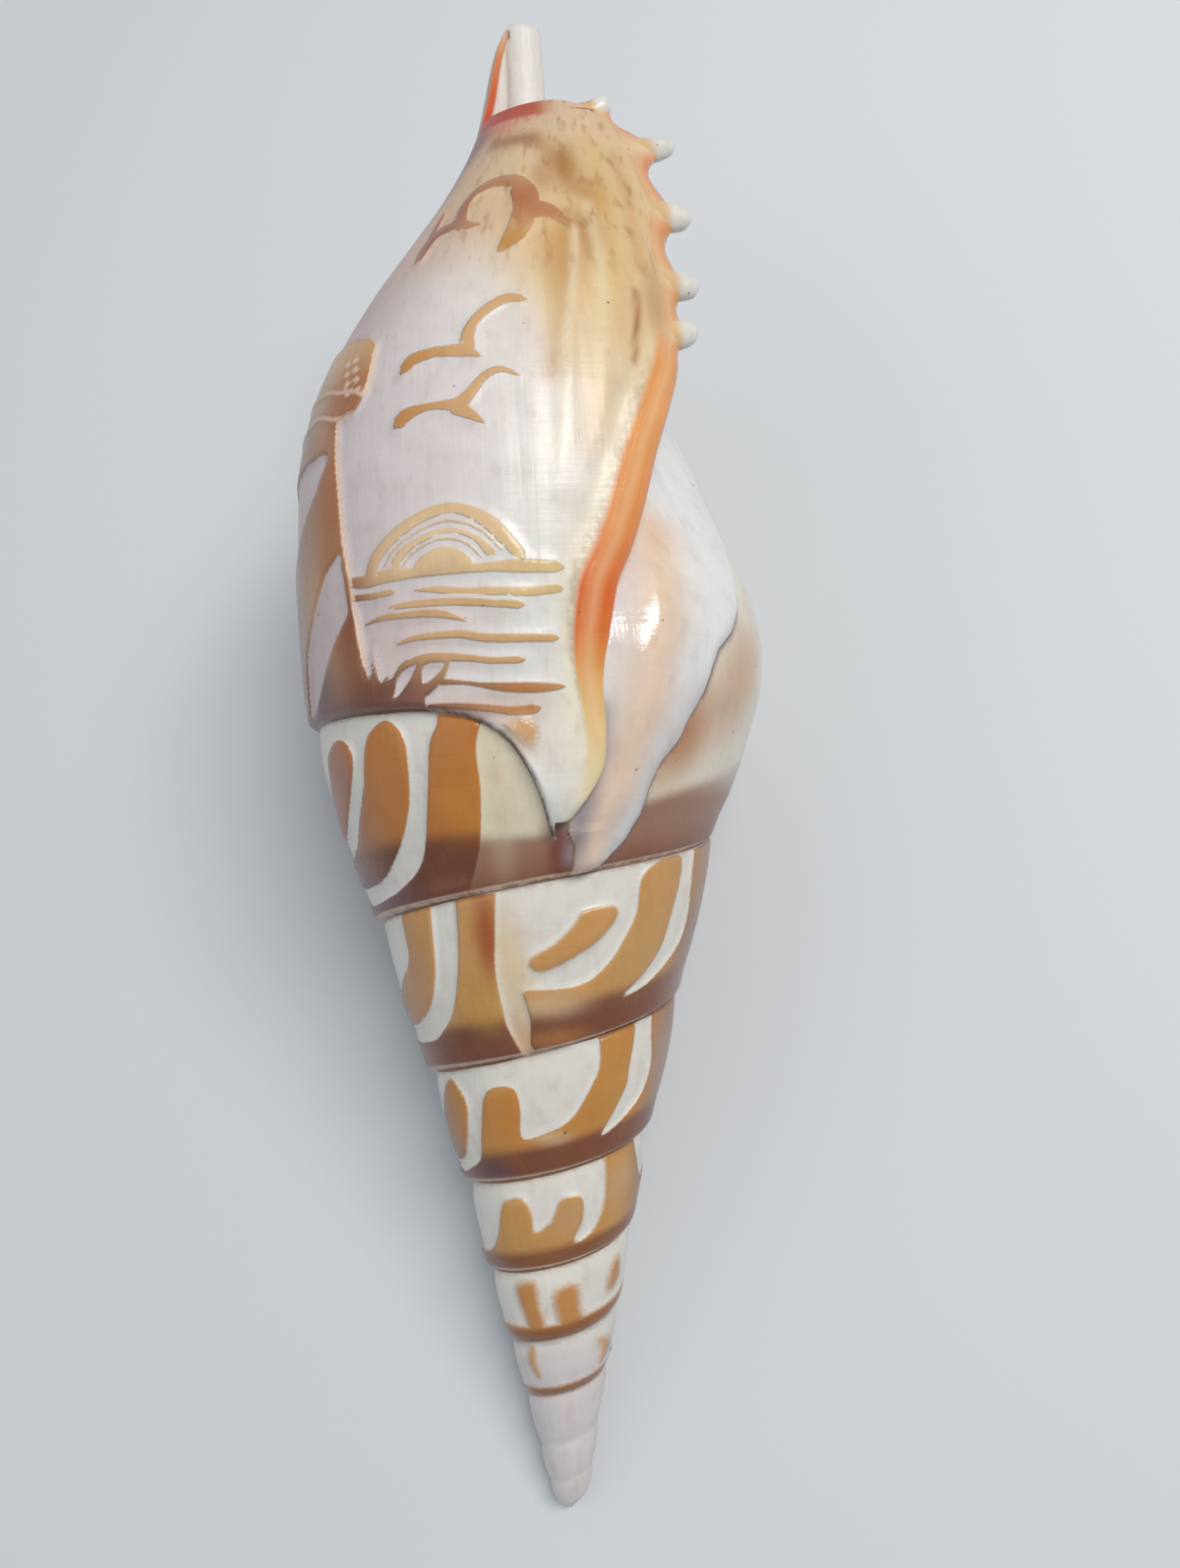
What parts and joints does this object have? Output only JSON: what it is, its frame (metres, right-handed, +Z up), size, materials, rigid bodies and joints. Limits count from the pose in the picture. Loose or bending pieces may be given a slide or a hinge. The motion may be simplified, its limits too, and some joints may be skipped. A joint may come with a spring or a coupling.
{
  "type": "carved tibia shell",
  "caption": "Long-spired sea snail shell with a pointed lip, an open siphonal canal and carved whorls, lying on its side.",
  "frame": {"origin": "centre of the shell's footprint box, on the surface it lies on", "axes": "+Y from the tip of the spire towards the siphonal canal, +X towards the aperture, +Z up"},
  "size_m": [0.0458, 0.1458, 0.0507],
  "materials": {
    "shell_lime": "glossy shell, ivory with brown carved figures and an orange lip"
  },
  "bodies": {
    "root": {"tibia_shell": "shell_lime"}
  },
  "joints": []
}
